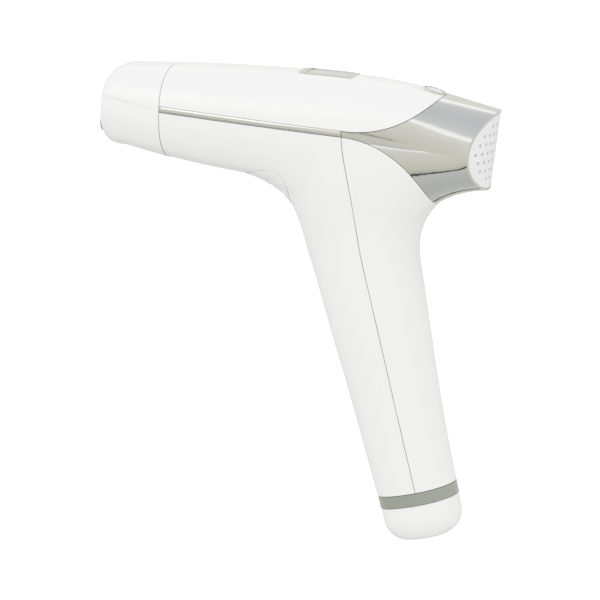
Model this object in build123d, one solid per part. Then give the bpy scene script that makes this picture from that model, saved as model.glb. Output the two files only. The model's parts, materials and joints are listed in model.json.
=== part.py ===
from build123d import *
import os
import numpy as np
from math import asin, cos, degrees, hypot, pi, radians, sin, sqrt, tan

# Hand-held pulsed-light hair remover: a pistol-shaped casing with a pull-off lamp head.
#
# Millimetres, +Z up. The origin is the middle of the grip, on the handle's axis. The lamp head
# points along -X, the fan outlet along +X, and the XZ plane is the plane of symmetry.

# ---------------------------------------------------------------- driving dimensions
WALL = 2.2                # thickness of the moulded shells
SEAM_GAP = 0.24           # width of the parting lines between shells
BARREL_LEAN = 3.6         # degrees, the barrel's axis rises towards the lamp head
HANDLE_LEAN = 15.0        # degrees, foot swept to the rear
CORNER = (-15.7, 92.0)    # where strip, handle seam and tail trim meet, in x, z
HEAD_SEAM_X = -95.5       # plane where the lamp head meets the body
STRIP_HEIGHT = 2.6        # side trim strip, seen from the side
SEAM_OFFSET = 3.0         # handle seam behind the handle's axis
BAND_TOP, BAND_BOTTOM, FOOT_END = -64.8, -70.2, -86.3   # heights along the handle's axis

TOP_ARC_CENTRE, TOP_ARC_RADIUS = (-11.1, 139.1), 46.0    # rear edge of the top shell, from the side
REAR_ARC_CENTRE, REAR_ARC_RADIUS = (-17.6, 49.42), 41.3  # upper edge of the rear shell
CREASE_TOP_X, CREASE_LOW_X = 3.0, 15.3                   # where the trim's creases leave the arcs

RIM_CENTRE_Z, RIM_HALF_HEIGHT, RIM_HALF_WIDTH = 85.6, 17.1, 23.6
RIM_X, RIM_LEAN, RIM_DRUM = 44.5, 0.095, 42.0          # the rim lies on an upright drum
OUTLET_CENTRE_Z, OUTLET_HALF_HEIGHT, OUTLET_HALF_WIDTH = 85.45, 15.9, 22.5
GRILLE_HOLE, GRILLE_PITCH = 1.6, 4.6

DISPLAY_X, DISPLAY_LENGTH, DISPLAY_WIDTH = -28.2, 23.3, 18.0
GLASS_LENGTH, GLASS_WIDTH = 17.4, 15.4
POWER_X, POWER_TILT, POWER_RING_RADIUS, POWER_BUTTON_RADIUS = 17.6, 14.5, 5.0, 4.05

FLASH_PIVOT, FLASH_ARC_RADIUS = (-65.4, 40.0), 29.0      # centre of the inside corner's curve
FLASH_ANGLE = 60.0         # degrees below the level, the way the flash button faces
FLASH_LENGTH, FLASH_WIDTH, FLASH_PROUD = 25.0, 45.0, 0.12

HEAD_FRONT, HEAD_ROUND_START = -123.0, -113.5
HEAD_TOP_ROUNDING, HEAD_LOW_ROUNDING, HEAD_SIDE_ROUNDING = 6.2, 6.6, 4.6
CREASE_DEPTH, CREASE_RISE = 0.45, 3.6                    # groove along the head's side
FRAME_LENGTH, FRAME_HEIGHT = 36.6, 18.8                  # contact frame round the flash window
WINDOW_LENGTH, WINDOW_HEIGHT = 30.0, 10.0                # a flash area of 3 square centimetres
HEAD_MID = 93.8                                          # height of the window's centre

FAN_SIZE, FAN_DEPTH, FAN_X, FAN_Z = 25.0, 10.0, 23.5, 86.0
CAPACITOR_RADIUS, CAPACITOR_LENGTH, CAPACITOR_BOTTOM = 14.0, 60.0, -48.0
BOARD_TOP, BOARD_THICKNESS = 88.0, 1.6
BOARD_SCREW_X, BOARD_SCREW_Y = (-68.0, -24.0), 18.4
DISPLAY_BOARD_TOP, DISPLAY_BOARD_SCREWS = 106.2, (3.4, -43.7)
POWER_BOARD_TOP, FLASH_BOARD_TOP = -7.65, -10.35         # behind the faces of the two buttons
COLLAR_RADIUS, COLLAR_DEPTH = 4.0, 6.0                   # recess for the supply plug's collar
INTAKE_HOLES, INTAKE_RADIUS, INTAKE_CIRCLE = 8, 0.9, 8.2  # ring of air holes under the foot
RIM_MARKS = (90.0, 86.4, 84.4, 79.0)                     # the side panel's corners on the rim, in z
TUBE_DEPTH = -11.5                                       # the tube's axis behind the front face
SPIGOT = (14.1, 19.9, 24.4)                              # reach above and below the barrel's mid
BULKHEAD = (15.1, 20.9, 25.2)                            # line, and sideways
TRANSFORMER_X = -54.0
FAN_CORNERS = [(y, z) for y in (-10.0, 10.0) for z in (-10.0, 10.0)]

SQUARE_UP = Vector(sin(radians(BARREL_LEAN)), 0, cos(radians(BARREL_LEAN)))   # square to the barrel
MOUTH_RISE = 4.3          # the barrel's mid line over the window's axis
BARREL = Vector(-cos(radians(BARREL_LEAN)), 0, sin(radians(BARREL_LEAN)))   # towards the window
HANDLE = Vector(-sin(radians(HANDLE_LEAN)), 0, cos(radians(HANDLE_LEAN)))   # up along the handle


def strip_z(x):
    """Height of the barrel's mid line, where the barrel is widest."""
    return CORNER[1] - (x - CORNER[0]) * sin(radians(BARREL_LEAN))


def on_handle(height, back=0.0, y=0.0):
    """Point at a height along the handle's axis, so far behind it."""
    lean = radians(HANDLE_LEAN)
    return Vector(back * cos(lean) - height * sin(lean), y, back * sin(lean) + height * cos(lean))


def on_barrel(x, drop=0.0, y=0.0):
    """Point under the window's axis at an x, the drop being square to that axis."""
    middle = Vector(x, y, HEAD_MID - (x - HEAD_FRONT) * tan(radians(BARREL_LEAN)))
    return middle - SQUARE_UP * drop


def handle_xz(height, back):
    point = on_handle(height, back)
    return (point.X, point.Z)


# ---------------------------------------------------------------- smooth skins
ROWS, COLUMNS, ROUND_COLUMNS = 60, 33, 73    # points along, across and right round a skin
OVERRUN = 4.0                                # how far a skin runs on past its seam, to be trimmed


def smooth_rows(stations, count):
    """Evenly spaced rows on natural cubic splines through the stations."""
    table = np.array([(*seam, *apex, wide, fullness) for seam, apex, wide, fullness in stations])
    steps = np.hypot(*np.diff((table[:, 0:2] + table[:, 2:4]) / 2, axis=0).T)
    knots = np.concatenate([[0], np.cumsum(steps)])
    slopes = np.diff(table, axis=0) / steps[:, None]
    system, load = np.eye(len(knots)), np.zeros_like(table)
    for k in range(1, len(knots) - 1):
        system[k, k - 1:k + 2] = steps[k - 1], 2 * (steps[k - 1] + steps[k]), steps[k]
        load[k] = 6 * (slopes[k] - slopes[k - 1])
    bends = np.linalg.solve(system, load)
    rows = []
    for place in np.linspace(0, knots[-1], count):
        k = min(np.searchsorted(knots, place, side="right") - 1, len(steps) - 1)
        after, before, step = place - knots[k], knots[k + 1] - place, steps[k]
        curved = (bends[k] * before**3 + bends[k + 1] * after**3) / (6 * step)
        start = (table[k] / step - bends[k] * step / 6) * before
        end = (table[k + 1] / step - bends[k + 1] * step / 6) * after
        rows.append(curved + start + end)
    return rows


def reach(along, across, depth, half_width, fullness):
    """Distance from the centre of a superellipse to its edge in a direction."""
    return (abs(along / depth) ** fullness + abs(across / half_width) ** fullness) ** (-1 / fullness)


def skin_section(row, inset):
    """Points across a skin in the plane through its seam point and its apex."""
    seam_x, seam_z, apex_x, apex_z, wide, fullness = row
    depth = hypot(apex_x - seam_x, apex_z - seam_z)
    ux, uz = (apex_x - seam_x) / depth, (apex_z - seam_z) / depth
    past = degrees(asin(OVERRUN / (wide - inset)))
    points = []
    for angle in np.linspace(-radians(90 + past), radians(90 + past), COLUMNS):
        size = reach(cos(angle), sin(angle), depth - inset, wide - inset, fullness)
        along = size * cos(angle)
        points.append((seam_x + ux * along, size * sin(angle), seam_z + uz * along))
    return points


def surface(sections):
    return Face.make_surface_from_array_of_points(sections, tol=0.005, min_deg=3, max_deg=3)


def layer(rows, outside, inside):
    """Solid between a skin's two offsets, both measured inwards."""
    faces = [surface([skin_section(row, inset) for row in rows]) for inset in (outside, inside)]
    inner_edges = faces[1].edges()
    for edge in faces[0].edges():
        partner = min(inner_edges, key=lambda other: ((other @ 0.5) - (edge @ 0.5)).length)
        faces.append(Face.make_surface_from_curves(edge, partner))
    return Solid(Shell(faces))


EVEN_ANGLES = np.linspace(-pi, pi, ROUND_COLUMNS)


def round_section(centre, up, above, below, half_width, fullness, angles=EVEN_ANGLES):
    """Points right round a section that has its own depth above and below its centre."""
    points = []
    for angle in angles:
        depth = above if cos(angle) > 0 else below
        size = reach(cos(angle), sin(angle), depth, half_width, fullness)
        along = size * cos(angle)
        points.append((centre.X + up.X * along, size * sin(angle), centre.Z + up.Z * along))
    return points


def round_solid(sections):
    """Solid whose side runs through closed sections and whose ends are flat."""
    side = surface(sections)
    ends = [Face(Wire([edge])) for edge in side.edges() if edge.is_closed]
    return Solid(Shell([side, *ends]))


def half_width_at(rows, x, z, inset=0.0):
    """Half width of a skin at a point of the side view."""
    nearest = None
    for seam_x, seam_z, apex_x, apex_z, wide, fullness in rows:
        depth = hypot(apex_x - seam_x, apex_z - seam_z)
        ux, uz = (apex_x - seam_x) / depth, (apex_z - seam_z) / depth
        off = abs((x - seam_x) * uz - (z - seam_z) * ux)
        if nearest is None or off < nearest[0]:
            along = max((x - seam_x) * ux + (z - seam_z) * uz, 0)
            nearest = (off, along / (depth - inset), wide - inset, fullness)
    _, share, wide, fullness = nearest
    return wide * (1 - share**fullness) ** (1 / fullness) if share < 1 else 0.0


# (seam point, apex, half width at the seam, fullness), the points in x, z
TOP_STATIONS = [
    ((x, strip_z(x)), (x, top), wide, 2.3)
    for x, top, wide in (
        (-100, 113.7, 27.2), (-84, 114.3, 28.4), (-62, 114.6, 29.6), (-40, 114.5, 30.0),
        (-18, 113.7, 29.5), (2, 111.9, 28.3), (20, 108.4, 26.8), (34, 104.7, 25.3),
    )
]
FRONT_STATIONS = [
    ((-100, 97.3), (-100, 74.8), 27.2, 2.3),
    ((-82, 96.2), (-82.5, 71.7), 28.5, 2.3),
    ((-64, 95.0), (-67.0, 69.7), 29.5, 2.3),
    ((-46, 94.2), (-57.0, 67.9), 29.9, 2.25),
    ((-29, 93.6), (-48.8, 63.9), 29.7, 2.2),
    ((-16, 91.5), (-43.0, 58.6), 29.1, 2.15),
    ((-13.2, 80), (-39.0, 51.2), 27.6, 2.1),
    ((-11.8, 66), (-36.1, 43.0), 24.9, 2.05),
    ((-9.4, 50), (-34.0, 36.0), 21.6, 2.0),
    (handle_xz(34, SEAM_OFFSET), handle_xz(34, -22.8), 19.9, 2.0),
    (handle_xz(10, SEAM_OFFSET), handle_xz(10, -21.5), 18.9, 2.0),
    (handle_xz(-17, SEAM_OFFSET), handle_xz(-17, -19.6), 18.1, 2.0),
    (handle_xz(-43, SEAM_OFFSET), handle_xz(-43, -18.3), 17.2, 2.0),
    (handle_xz(-72, SEAM_OFFSET), handle_xz(-72, -16.7), 15.9, 2.0),
]
REAR_STATIONS = [
    ((-16.5, 99), (50, 71.5), 29.3, 2.6),
    ((-15.6, 88), (37, 68.6), 28.7, 2.6),
    ((-13.4, 74), (26.5, 65.2), 26.6, 2.5),
    ((-11.6, 61.5), (19.3, 58.8), 24.0, 2.35),
    ((-9.2, 49.5), (15.0, 51.2), 21.5, 2.2),
    ((-7.0, 38.5), (13.5, 42.6), 20.2, 2.1),
    (handle_xz(24, SEAM_OFFSET), handle_xz(24, 22.6), 19.4, 2.0),
    (handle_xz(10, SEAM_OFFSET), handle_xz(10, 21.6), 18.9, 2.0),
    (handle_xz(-17, SEAM_OFFSET), handle_xz(-17, 19.6), 18.1, 2.0),
    (handle_xz(-43, SEAM_OFFSET), handle_xz(-43, 18.2), 17.2, 2.0),
    (handle_xz(-72, SEAM_OFFSET), handle_xz(-72, 17.6), 15.9, 2.0),
]
TOP_ROWS = smooth_rows(TOP_STATIONS, ROWS)
FRONT_ROWS = smooth_rows(FRONT_STATIONS, ROWS)
REAR_ROWS = smooth_rows(REAR_STATIONS, ROWS)
FINE_TOP_ROWS = smooth_rows(TOP_STATIONS, 1200)
FINE_REAR_ROWS = smooth_rows(REAR_STATIONS, 1200)

SIDE_REACH = 45.0         # beyond the widest place of the casing


def side_prism(edges):
    """Prism across the casing over an outline drawn in x, z."""
    return extrude(Face(Wire(edges)), SIDE_REACH, dir=(0, 1, 0), both=True)


def at_xz(points):
    return [Vector(x, 0, z) for x, z in points]


def chain(points):
    """Straight edges through points given in x, z."""
    spots = at_xz(points)
    return [Edge.make_line(a, b) for a, b in zip(spots, spots[1:])]


def handle_seam(shift):
    """Edges of the seam between front and rear shell, from the corner down to the band."""
    top = [(-15.7, 90.0), (-15.1, 84), (-13.8, 76.5), (-11.7, 64.6), (-9.0, 48.5)]
    points = [Vector(x + shift, 0, z) for x, z in top]
    points.append(on_handle(34, SEAM_OFFSET + shift))
    curve = Edge.make_spline(points, tangents=[(0.05, 0, -1), -HANDLE])
    straight = Edge.make_line(points[-1], on_handle(BAND_TOP - 1, SEAM_OFFSET + shift))
    return [curve, straight]


def arc_through(centre, radius, start_x, end_x, side):
    """Arc of a side-view circle between two x, on its upper (1) or lower (-1) side."""
    spots = []
    for x in (start_x, (start_x + end_x) / 2, end_x):
        spots.append((x, centre[1] + side * sqrt(radius**2 - (x - centre[0]) ** 2)))
    return Edge.make_three_point_arc(*at_xz(spots)), spots[0], spots[-1]


# ---------------------------------------------------------------- outer shells
HALF_GAP = SEAM_GAP / 2
FRONT_X = HEAD_SEAM_X + HALF_GAP
STRIP_LIFT = STRIP_HEIGHT / 2


def display_prism(length, width, low=-8.0, high=8.0):
    """Rounded block through the top shell, square to the skin at the display."""
    plane = Plane(origin=(DISPLAY_X, 0, 114), x_dir=(0.9993, 0, -0.037), z_dir=(0.037, 0, 0.9993))
    with BuildSketch(plane.offset(low)) as sketch:
        RectangleRounded(length, width, 1.6)
    return extrude(sketch.sketch, high - low)


POWER_PLANE = Plane(
    origin=(POWER_X, 0, 109.15),
    x_dir=(cos(radians(POWER_TILT)), 0, -sin(radians(POWER_TILT))),
    z_dir=(sin(radians(POWER_TILT)), 0, cos(radians(POWER_TILT))),
)
FLASH_OUT = Vector(-cos(radians(FLASH_ANGLE)), 0, -sin(radians(FLASH_ANGLE)))
FLASH_SPOT = Vector(FLASH_PIVOT[0], 0, FLASH_PIVOT[1]) - FLASH_OUT * FLASH_ARC_RADIUS
FLASH_PLANE = Plane(origin=FLASH_SPOT, x_dir=(-FLASH_OUT.Z, 0, FLASH_OUT.X), z_dir=FLASH_OUT)


def flash_prism(length, width, low=-20.0, high=9.0):
    """Oval block through the inside corner, along the flash button's travel."""
    with BuildSketch(FLASH_PLANE.offset(low)) as sketch:
        Ellipse(length / 2, width / 2)
    return extrude(sketch.sketch, high - low)


def rod(start, direction, length, radius, bore=0.0):
    plane = Plane(origin=start, z_dir=direction)
    solid = Solid.make_cylinder(radius, length, plane)
    if bore:
        solid -= Solid.make_cylinder(bore, length, plane)
    return solid


def block(x, y, z):
    """Box between two x, two y and two z."""
    box = Box(x[1] - x[0], y[1] - y[0], z[1] - z[0])
    return Pos((x[0] + x[1]) / 2, (y[0] + y[1]) / 2, (z[0] + z[1]) / 2) * box


def display_posts():
    """Posts on the top shell that the display board is screwed to."""
    back, front = DISPLAY_BOARD_SCREWS
    posts = [rod((front, y, DISPLAY_BOARD_TOP), (0, 0, 1), 6.4, 2.2, 0.7) for y in (-8, 8)]
    posts += [rod((back, y, DISPLAY_BOARD_TOP), (0, 0, 1), 3.8, 2.2, 0.7) for y in (-8, 8)]
    for y in (-4.6, 4.6):
        start = POWER_PLANE.from_local_coords(Vector(-6.2, y, POWER_BOARD_TOP))
        posts.append(rod(start, POWER_PLANE.z_dir, 6.2, 1.2))
    return posts


def top_shell():
    low = STRIP_LIFT + HALF_GAP
    arc, start, end = arc_through(TOP_ARC_CENTRE, TOP_ARC_RADIUS - HALF_GAP, -14.0, 28.0, -1)
    outline = chain([start, (FRONT_X, strip_z(FRONT_X) + low), (FRONT_X, 130), (28, 130), end])
    shell = layer(TOP_ROWS, 0, WALL) & side_prism([*outline, arc])
    shell -= display_prism(DISPLAY_LENGTH + 0.1, DISPLAY_WIDTH + 0.1)
    shell -= Solid.make_cylinder(POWER_RING_RADIUS + 0.05, 12, POWER_PLANE.offset(-6))
    for post in display_posts():
        shell += post
    return shell


def board_brackets():
    """Brackets on the front shell's wall that carry the main board."""
    under = BOARD_TOP - BOARD_THICKNESS
    blocks = [block((x - 3.5, x + 3.5), (-30, 30), (under - 6, under)) for x in BOARD_SCREW_X]
    return [layer(FRONT_ROWS, 1.0, 10.0) & piece for piece in blocks]


def flash_posts():
    """Posts behind the flash button that carry its switch board."""
    starts = [FLASH_PLANE.from_local_coords(Vector(x, 0, FLASH_BOARD_TOP)) for x in (-15.5, 15.5)]
    return [rod(start, FLASH_OUT, 13.2, 1.8) for start in starts]


def front_shell():
    low = STRIP_LIFT + HALF_GAP
    foot = BAND_TOP + HALF_GAP
    seam = handle_seam(-HALF_GAP)
    top = seam[0] @ 0
    corner = (top.X, strip_z(top.X) - low)
    outline = chain([corner, (FRONT_X, strip_z(FRONT_X) - low), (FRONT_X, 40), (-60, -60)])
    last = on_handle(foot, -40)
    end = on_handle(foot, SEAM_OFFSET - HALF_GAP)
    seam_top = Edge.make_line(Vector(corner[0], 0, corner[1]), top)
    edges = [Edge.make_line(Vector(-60, 0, -60), last), Edge.make_line(last, end)]
    straight = Edge.make_line(seam[1] @ 0, end)
    shell = layer(FRONT_ROWS, 0, WALL) & side_prism([*outline, *edges, straight, seam[0], seam_top])
    shell -= flash_prism(FLASH_LENGTH, FLASH_WIDTH)
    for piece in [*board_brackets(), *flash_posts()]:
        shell += piece
    return shell - [rod((x, y, 80), (0, 0, 1), 12, 0.66) for x, y in board_screw_spots()]


def rear_handle_shell():
    foot = BAND_TOP + HALF_GAP
    radius = REAR_ARC_RADIUS - HALF_GAP
    seam = handle_seam(HALF_GAP)
    start_x = (seam[0] @ 0).X
    arc, start, end = arc_through(REAR_ARC_CENTRE, radius, start_x, 22.8, 1)
    seam_end = on_handle(foot, SEAM_OFFSET + HALF_GAP)
    far = on_handle(foot, 45)
    seam_top = Edge.make_line(Vector(start[0], 0, start[1]), seam[0] @ 0)
    edges = [
        Edge.make_line(seam[1] @ 0, seam_end),
        Edge.make_line(seam_end, far),
        Edge.make_line(far, Vector(45, 0, 50)),
        Edge.make_line(Vector(45, 0, 50), Vector(end[0], 0, end[1])),
    ]
    return layer(REAR_ROWS, 0, WALL) & side_prism([arc, *edges, seam_top, seam[0]])


def side_strips():
    """The two trim strips along the barrel, one on each side."""
    low = STRIP_LIFT
    end_x = CORNER[0] - HALF_GAP
    outline = [(FRONT_X, strip_z(FRONT_X) - low), (end_x, strip_z(end_x) - low)]
    outline += [(end_x, strip_z(end_x) + low), (FRONT_X, strip_z(FRONT_X) + low)]
    strips = layer(TOP_ROWS, -0.1, 1.6) & side_prism(chain([*outline, outline[0]]))
    return sorted(strips.solids(), key=lambda solid: solid.center().Y)


# ---------------------------------------------------------------- tail

def rim_spot(angle, inner):
    """Point of the rim's outer or inner edge, the angle from the top."""
    if inner:
        centre, high, wide = OUTLET_CENTRE_Z, OUTLET_HALF_HEIGHT, OUTLET_HALF_WIDTH
    else:
        centre, high, wide = RIM_CENTRE_Z, RIM_HALF_HEIGHT, RIM_HALF_WIDTH
    size = reach(cos(angle), sin(angle), high, wide, 2.15)
    y, z = -size * sin(angle), centre + size * cos(angle)
    drum = RIM_DRUM - sqrt(RIM_DRUM**2 - y**2)
    return Vector(RIM_X + RIM_LEAN * (z - RIM_CENTRE_Z) - drum, y, z)


def rim_angle(z, inner):
    """Angle at which the rim's near side reaches a height."""
    low, high = 0.0, pi
    while high - low > 1e-9:
        middle = (low + high) / 2
        if rim_spot(middle, inner).Z > z:
            low = middle
        else:
            high = middle
    return low


def rim_edge(start, end, inner, count=9):
    return Edge.make_spline([rim_spot(angle, inner) for angle in np.linspace(start, end, count)])


def arc_spots(centre, radius, side, rows, inset, start_x, end_x=None, count=12):
    """Points of a skin over a side-view arc, to its end or to the plane of symmetry."""
    def spot(x):
        z = centre[1] + side * sqrt(radius**2 - (x - centre[0]) ** 2)
        return Vector(x, -half_width_at(rows, x, z, inset), z)

    if end_x is not None:
        return [spot(x) for x in np.linspace(start_x, end_x, count)]
    low, high = start_x, centre[0] + radius - 0.5
    while high - low > 1e-7:
        middle = (low + high) / 2
        if spot(middle).Y < 0:
            low = middle
        else:
            high = middle
    spots = [spot(low + (start_x - low) * share**2) for share in np.linspace(1, 0, count)]
    spots[-1] = Vector(spots[-1].X, 0, spots[-1].Z)
    return spots


def across(spots):
    """Points from the near side over the plane of symmetry to the far side."""
    return [*spots, *(Vector(spot.X, -spot.Y, spot.Z) for spot in reversed(spots[:-1]))]


def mirrored(edge):
    return edge.mirror(Plane.XZ)


def tail_edges(inset):
    """Matching front and rim edges of the tail's panels, near side first, for one of its skins."""
    inner = inset > 0
    top = (TOP_ARC_CENTRE, TOP_ARC_RADIUS + HALF_GAP, -1, FINE_TOP_ROWS, inset)
    low = (REAR_ARC_CENTRE, REAR_ARC_RADIUS + HALF_GAP, 1, FINE_REAR_ROWS, inset)
    tip_x = CORNER[0] + HALF_GAP
    upper = arc_spots(*top, tip_x, CREASE_TOP_X)
    lower = arc_spots(*low, tip_x, CREASE_LOW_X)
    over = [upper[-1], *arc_spots(*top, CREASE_TOP_X)[1:]]
    under = [lower[-1], *arc_spots(*low, CREASE_LOW_X)[1:]]
    angles = [rim_angle(z, inner) for z in RIM_MARKS]
    side_front = [
        Edge.make_spline(upper[::-1]),
        Edge.make_line(upper[0], lower[0]),
        Edge.make_spline(lower),
    ]
    side_rim = [rim_edge(a, b, inner) for a, b in zip(angles, angles[1:])]
    crown = Edge.make_spline(across(over)), rim_edge(angles[0], -angles[0], inner, 17)
    belly = Edge.make_spline(across(under)), rim_edge(angles[-1], 2 * pi - angles[-1], inner, 17)
    return crown, list(zip(side_front, side_rim)), belly


def belly_panel(front, rim):
    """Underside of the tail, hollow along its length and straight at both creases."""
    points = []
    for share in np.linspace(0, 1, 17):
        middle = (front @ share + rim @ share) / 2
        points.append(middle + Vector(0, 0, 1.55 * sin(pi * share) ** 2))
    ends = [(front @ end + rim @ end) / 2 for end in (0, 1)]
    points[0], points[-1] = ends
    return Shell.make_loft([Wire([front]), Wire([Edge.make_spline(points)]), Wire([rim])]).faces()


def tail_trim():
    faces = []
    borders = []
    for inset in (0.0, 2.0):
        crown, sides, belly = tail_edges(inset)
        both = [*sides, *((mirrored(front), mirrored(rim)) for front, rim in sides)]
        faces.append(Face.make_surface_from_curves(*crown))
        faces += [Face.make_surface_from_curves(front, rim) for front, rim in both]
        faces += belly_panel(*belly)
        borders.append([*crown, *(edge for pair in both for edge in pair), *belly])
    faces += [Face.make_surface_from_curves(outer, inner) for outer, inner in zip(*borders)]
    return Solid(Shell(faces)) - Solid.make_cylinder(POWER_RING_RADIUS + 0.05, 12, POWER_PLANE.offset(-6))


def outlet_prism(shrink, front, back):
    """Drum-faced plate that fits the tail's outlet, so far behind the rim's surface."""
    outline = []
    for angle in np.linspace(0, 2 * pi, 49)[:-1]:
        high, wide = OUTLET_HALF_HEIGHT - shrink, OUTLET_HALF_WIDTH - shrink
        size = reach(cos(angle), sin(angle), high, wide, 2.15)
        outline.append(Vector(0, size * sin(angle), OUTLET_CENTRE_Z + size * cos(angle)))
    face = Face(Wire([Edge.make_spline(outline, periodic=True)]))
    plate = extrude(face, 70, dir=(1, 0, 0))
    lean = Vector(RIM_LEAN, 0, 1).normalized()
    for depth, outer in ((front, True), (back, False)):
        foot = Vector(RIM_X - RIM_DRUM - depth, 0, RIM_CENTRE_Z) - lean * 60
        drum = rod(foot, lean, 120, RIM_DRUM)
        plate = plate & drum if outer else plate - drum
    return plate


def exhaust_grille():
    plate = outlet_prism(0.1, 0.35, 2.0)
    holes = []
    for row in range(-3, 4):
        shift = GRILLE_PITCH / 2 if row % 2 else 0.0
        for column in range(-4, 5):
            y = column * GRILLE_PITCH + shift
            z = row * GRILLE_PITCH * 0.82
            if (y / (OUTLET_HALF_WIDTH - 2.5)) ** 2 + (z / (OUTLET_HALF_HEIGHT - 2.2)) ** 2 < 1:
                holes.append(rod((25, y, OUTLET_CENTRE_Z + z), (1, 0, 0), 30, GRILLE_HOLE / 2))
    return plate - holes


# ---------------------------------------------------------------- foot of the handle
def handle_outline(inset):
    """Section of the handle at the foot: two half ellipses that meet at the seam."""
    front, rear, wide = 19.85 - inset, 14.55 - inset, 16.05 - inset
    points = []
    for angle in np.linspace(0, 2 * pi, 49)[:-1]:
        depth = front if cos(angle) < 0 else rear
        size = reach(cos(angle), sin(angle), depth, wide, 2.0)
        points.append((size * cos(angle), size * sin(angle)))
    return points


def handle_slice(inset, start, end):
    plane = Plane(origin=on_handle(start, SEAM_OFFSET), x_dir=on_handle(0, 1), z_dir=HANDLE)
    spots = [plane.from_local_coords(Vector(x, y, 0)) for x, y in handle_outline(inset)]
    return extrude(Face(Wire([Edge.make_spline(spots, periodic=True)])), end - start, dir=HANDLE)


def handle_band():
    band = handle_slice(-0.15, BAND_BOTTOM + HALF_GAP, BAND_TOP - HALF_GAP)
    return band - handle_slice(1.6, BAND_BOTTOM - 1, BAND_TOP + 1)


def foot_section(height, inset, scale=1.0):
    front, rear, wide = 19.65 - inset, 14.4 - inset, 15.9 - inset
    middle = (rear - front) / 2
    centre = on_handle(height, SEAM_OFFSET + middle * (1 - scale))
    backwards = on_handle(0, 1)
    return round_section(centre, backwards, rear * scale, front * scale, wide * scale, 2.05)


def foot_solid(inset, top, rounding):
    """Rounded cup under the band, shrunk by an inset."""
    bottom = FOOT_END + inset
    sections = [foot_section(height, inset) for height in np.linspace(top, bottom + rounding, 4)]
    for angle in np.linspace(0, pi / 2, 12)[1:]:
        inward = rounding * (1 - cos(angle))
        sections.append(foot_section(bottom + rounding * (1 - sin(angle)), inset + inward))
    for scale in (0.75, 0.5, 0.25):
        sections.append(foot_section(bottom, inset + rounding, scale))
    return round_solid(sections)


def foot_point(height):
    """Point on the foot's own axis, in the middle of its section."""
    return on_handle(height, SEAM_OFFSET - 2.4)


def intake_holes():
    """Ring of air holes round the supply inlet, for the fan."""
    plane = Plane(origin=foot_point(FOOT_END - 1), x_dir=on_handle(0, 1), z_dir=HANDLE)
    ring = PolarLocations(INTAKE_CIRCLE, INTAKE_HOLES).locations
    hole = Cylinder(INTAKE_RADIUS, 5, align=(Align.CENTER, Align.CENTER, Align.MIN))
    return [plane.location * spot * hole for spot in ring]


def handle_end_cap():
    cap = foot_solid(0, BAND_BOTTOM - HALF_GAP, 10.0)
    cap -= foot_solid(2.4, BAND_BOTTOM + 2, 7.6)
    spigot = handle_slice(1.8, BAND_BOTTOM - 3, BAND_TOP - 1) - handle_slice(3.4, BAND_BOTTOM - 4, BAND_TOP)
    cap += spigot
    boss = rod(foot_point(FOOT_END + 1), HANDLE, COLLAR_DEPTH - 1 + 0.4, COLLAR_RADIUS + 1.6)
    cap += boss
    cap -= rod(foot_point(FOOT_END - 1), HANDLE, COLLAR_DEPTH + 1, COLLAR_RADIUS)
    cap -= intake_holes()
    return cap - rod(foot_point(FOOT_END), HANDLE, COLLAR_DEPTH + 2, 3.05)


def dc_jack():
    start = FOOT_END + COLLAR_DEPTH + 0.45
    plane = Plane(origin=foot_point(start), x_dir=on_handle(0, 1), z_dir=HANDLE)
    body = plane * Pos(0, 0, 5.5) * Box(9, 10, 11)
    body = fillet(body.edges().filter_by(Axis((0, 0, 0), HANDLE)), 0.6)
    body -= rod(foot_point(start - 1), HANDLE, 9.5, 2.85)
    return body - rod(foot_point(start), HANDLE, 9.6, 1.0)


def dc_contact_pin():
    pin = rod(foot_point(FOOT_END + COLLAR_DEPTH + 1.5), HANDLE, 8.5, 1.0)
    tip = fillet(pin.edges().sort_by(lambda edge: edge.center().dot(HANDLE))[0], 0.6)
    return tip


# ---------------------------------------------------------------- display and buttons
def display_bezel():
    ring = layer(TOP_ROWS, -0.45, 1.9) & display_prism(DISPLAY_LENGTH, DISPLAY_WIDTH)
    return ring - display_prism(GLASS_LENGTH + 0.1, GLASS_WIDTH + 0.1)


def display_window():
    return layer(TOP_ROWS, 0.05, 1.6) & display_prism(GLASS_LENGTH, GLASS_WIDTH)


def display_module():
    return block((DISPLAY_X - 11, DISPLAY_X + 11), (-9.5, 9.5), (107.2, 110.2))


def display_board():
    depth = (DISPLAY_BOARD_TOP - 1.2, DISPLAY_BOARD_TOP)
    board = block((DISPLAY_BOARD_SCREWS[1] - 2.8, 6), (-10.5, 10.5), depth)
    return board - [rod((x, y, 100), (0, 0, 1), 10, 0.9) for x in DISPLAY_BOARD_SCREWS for y in (-8, 8)]


def pan_screw(head, direction, length, radius=0.75):
    """Screw whose head rests at a point, its shank running along the direction."""
    direction = Vector(*direction).normalized()
    screw = rod(Vector(*head) - direction * 1.2, direction, 1.2, radius * 2)
    slot_plane = Plane(origin=Vector(*head) - direction * 1.2, z_dir=direction)
    for turn in (0, 90):
        screw -= slot_plane * Rot(0, 0, turn) * Box(radius * 2.4, 0.35, 1.0)
    return screw + rod(head, direction, length, radius * 0.85)


def display_board_screws():
    under = DISPLAY_BOARD_TOP - 1.2
    return Compound([pan_screw((x, y, under), (0, 0, 1), 3.6) for x in DISPLAY_BOARD_SCREWS for y in (-8, 8)])


def power_button_ring():
    ring = rod(POWER_PLANE.origin - POWER_PLANE.z_dir * 2.4, POWER_PLANE.z_dir, 3.1, POWER_RING_RADIUS)
    ring -= rod(POWER_PLANE.origin - POWER_PLANE.z_dir * 3, POWER_PLANE.z_dir, 5, POWER_BUTTON_RADIUS + 0.12)
    top = ring.edges().sort_by(lambda edge: edge.center().dot(POWER_PLANE.z_dir))[-2:]
    return fillet(top, 0.3)


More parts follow.
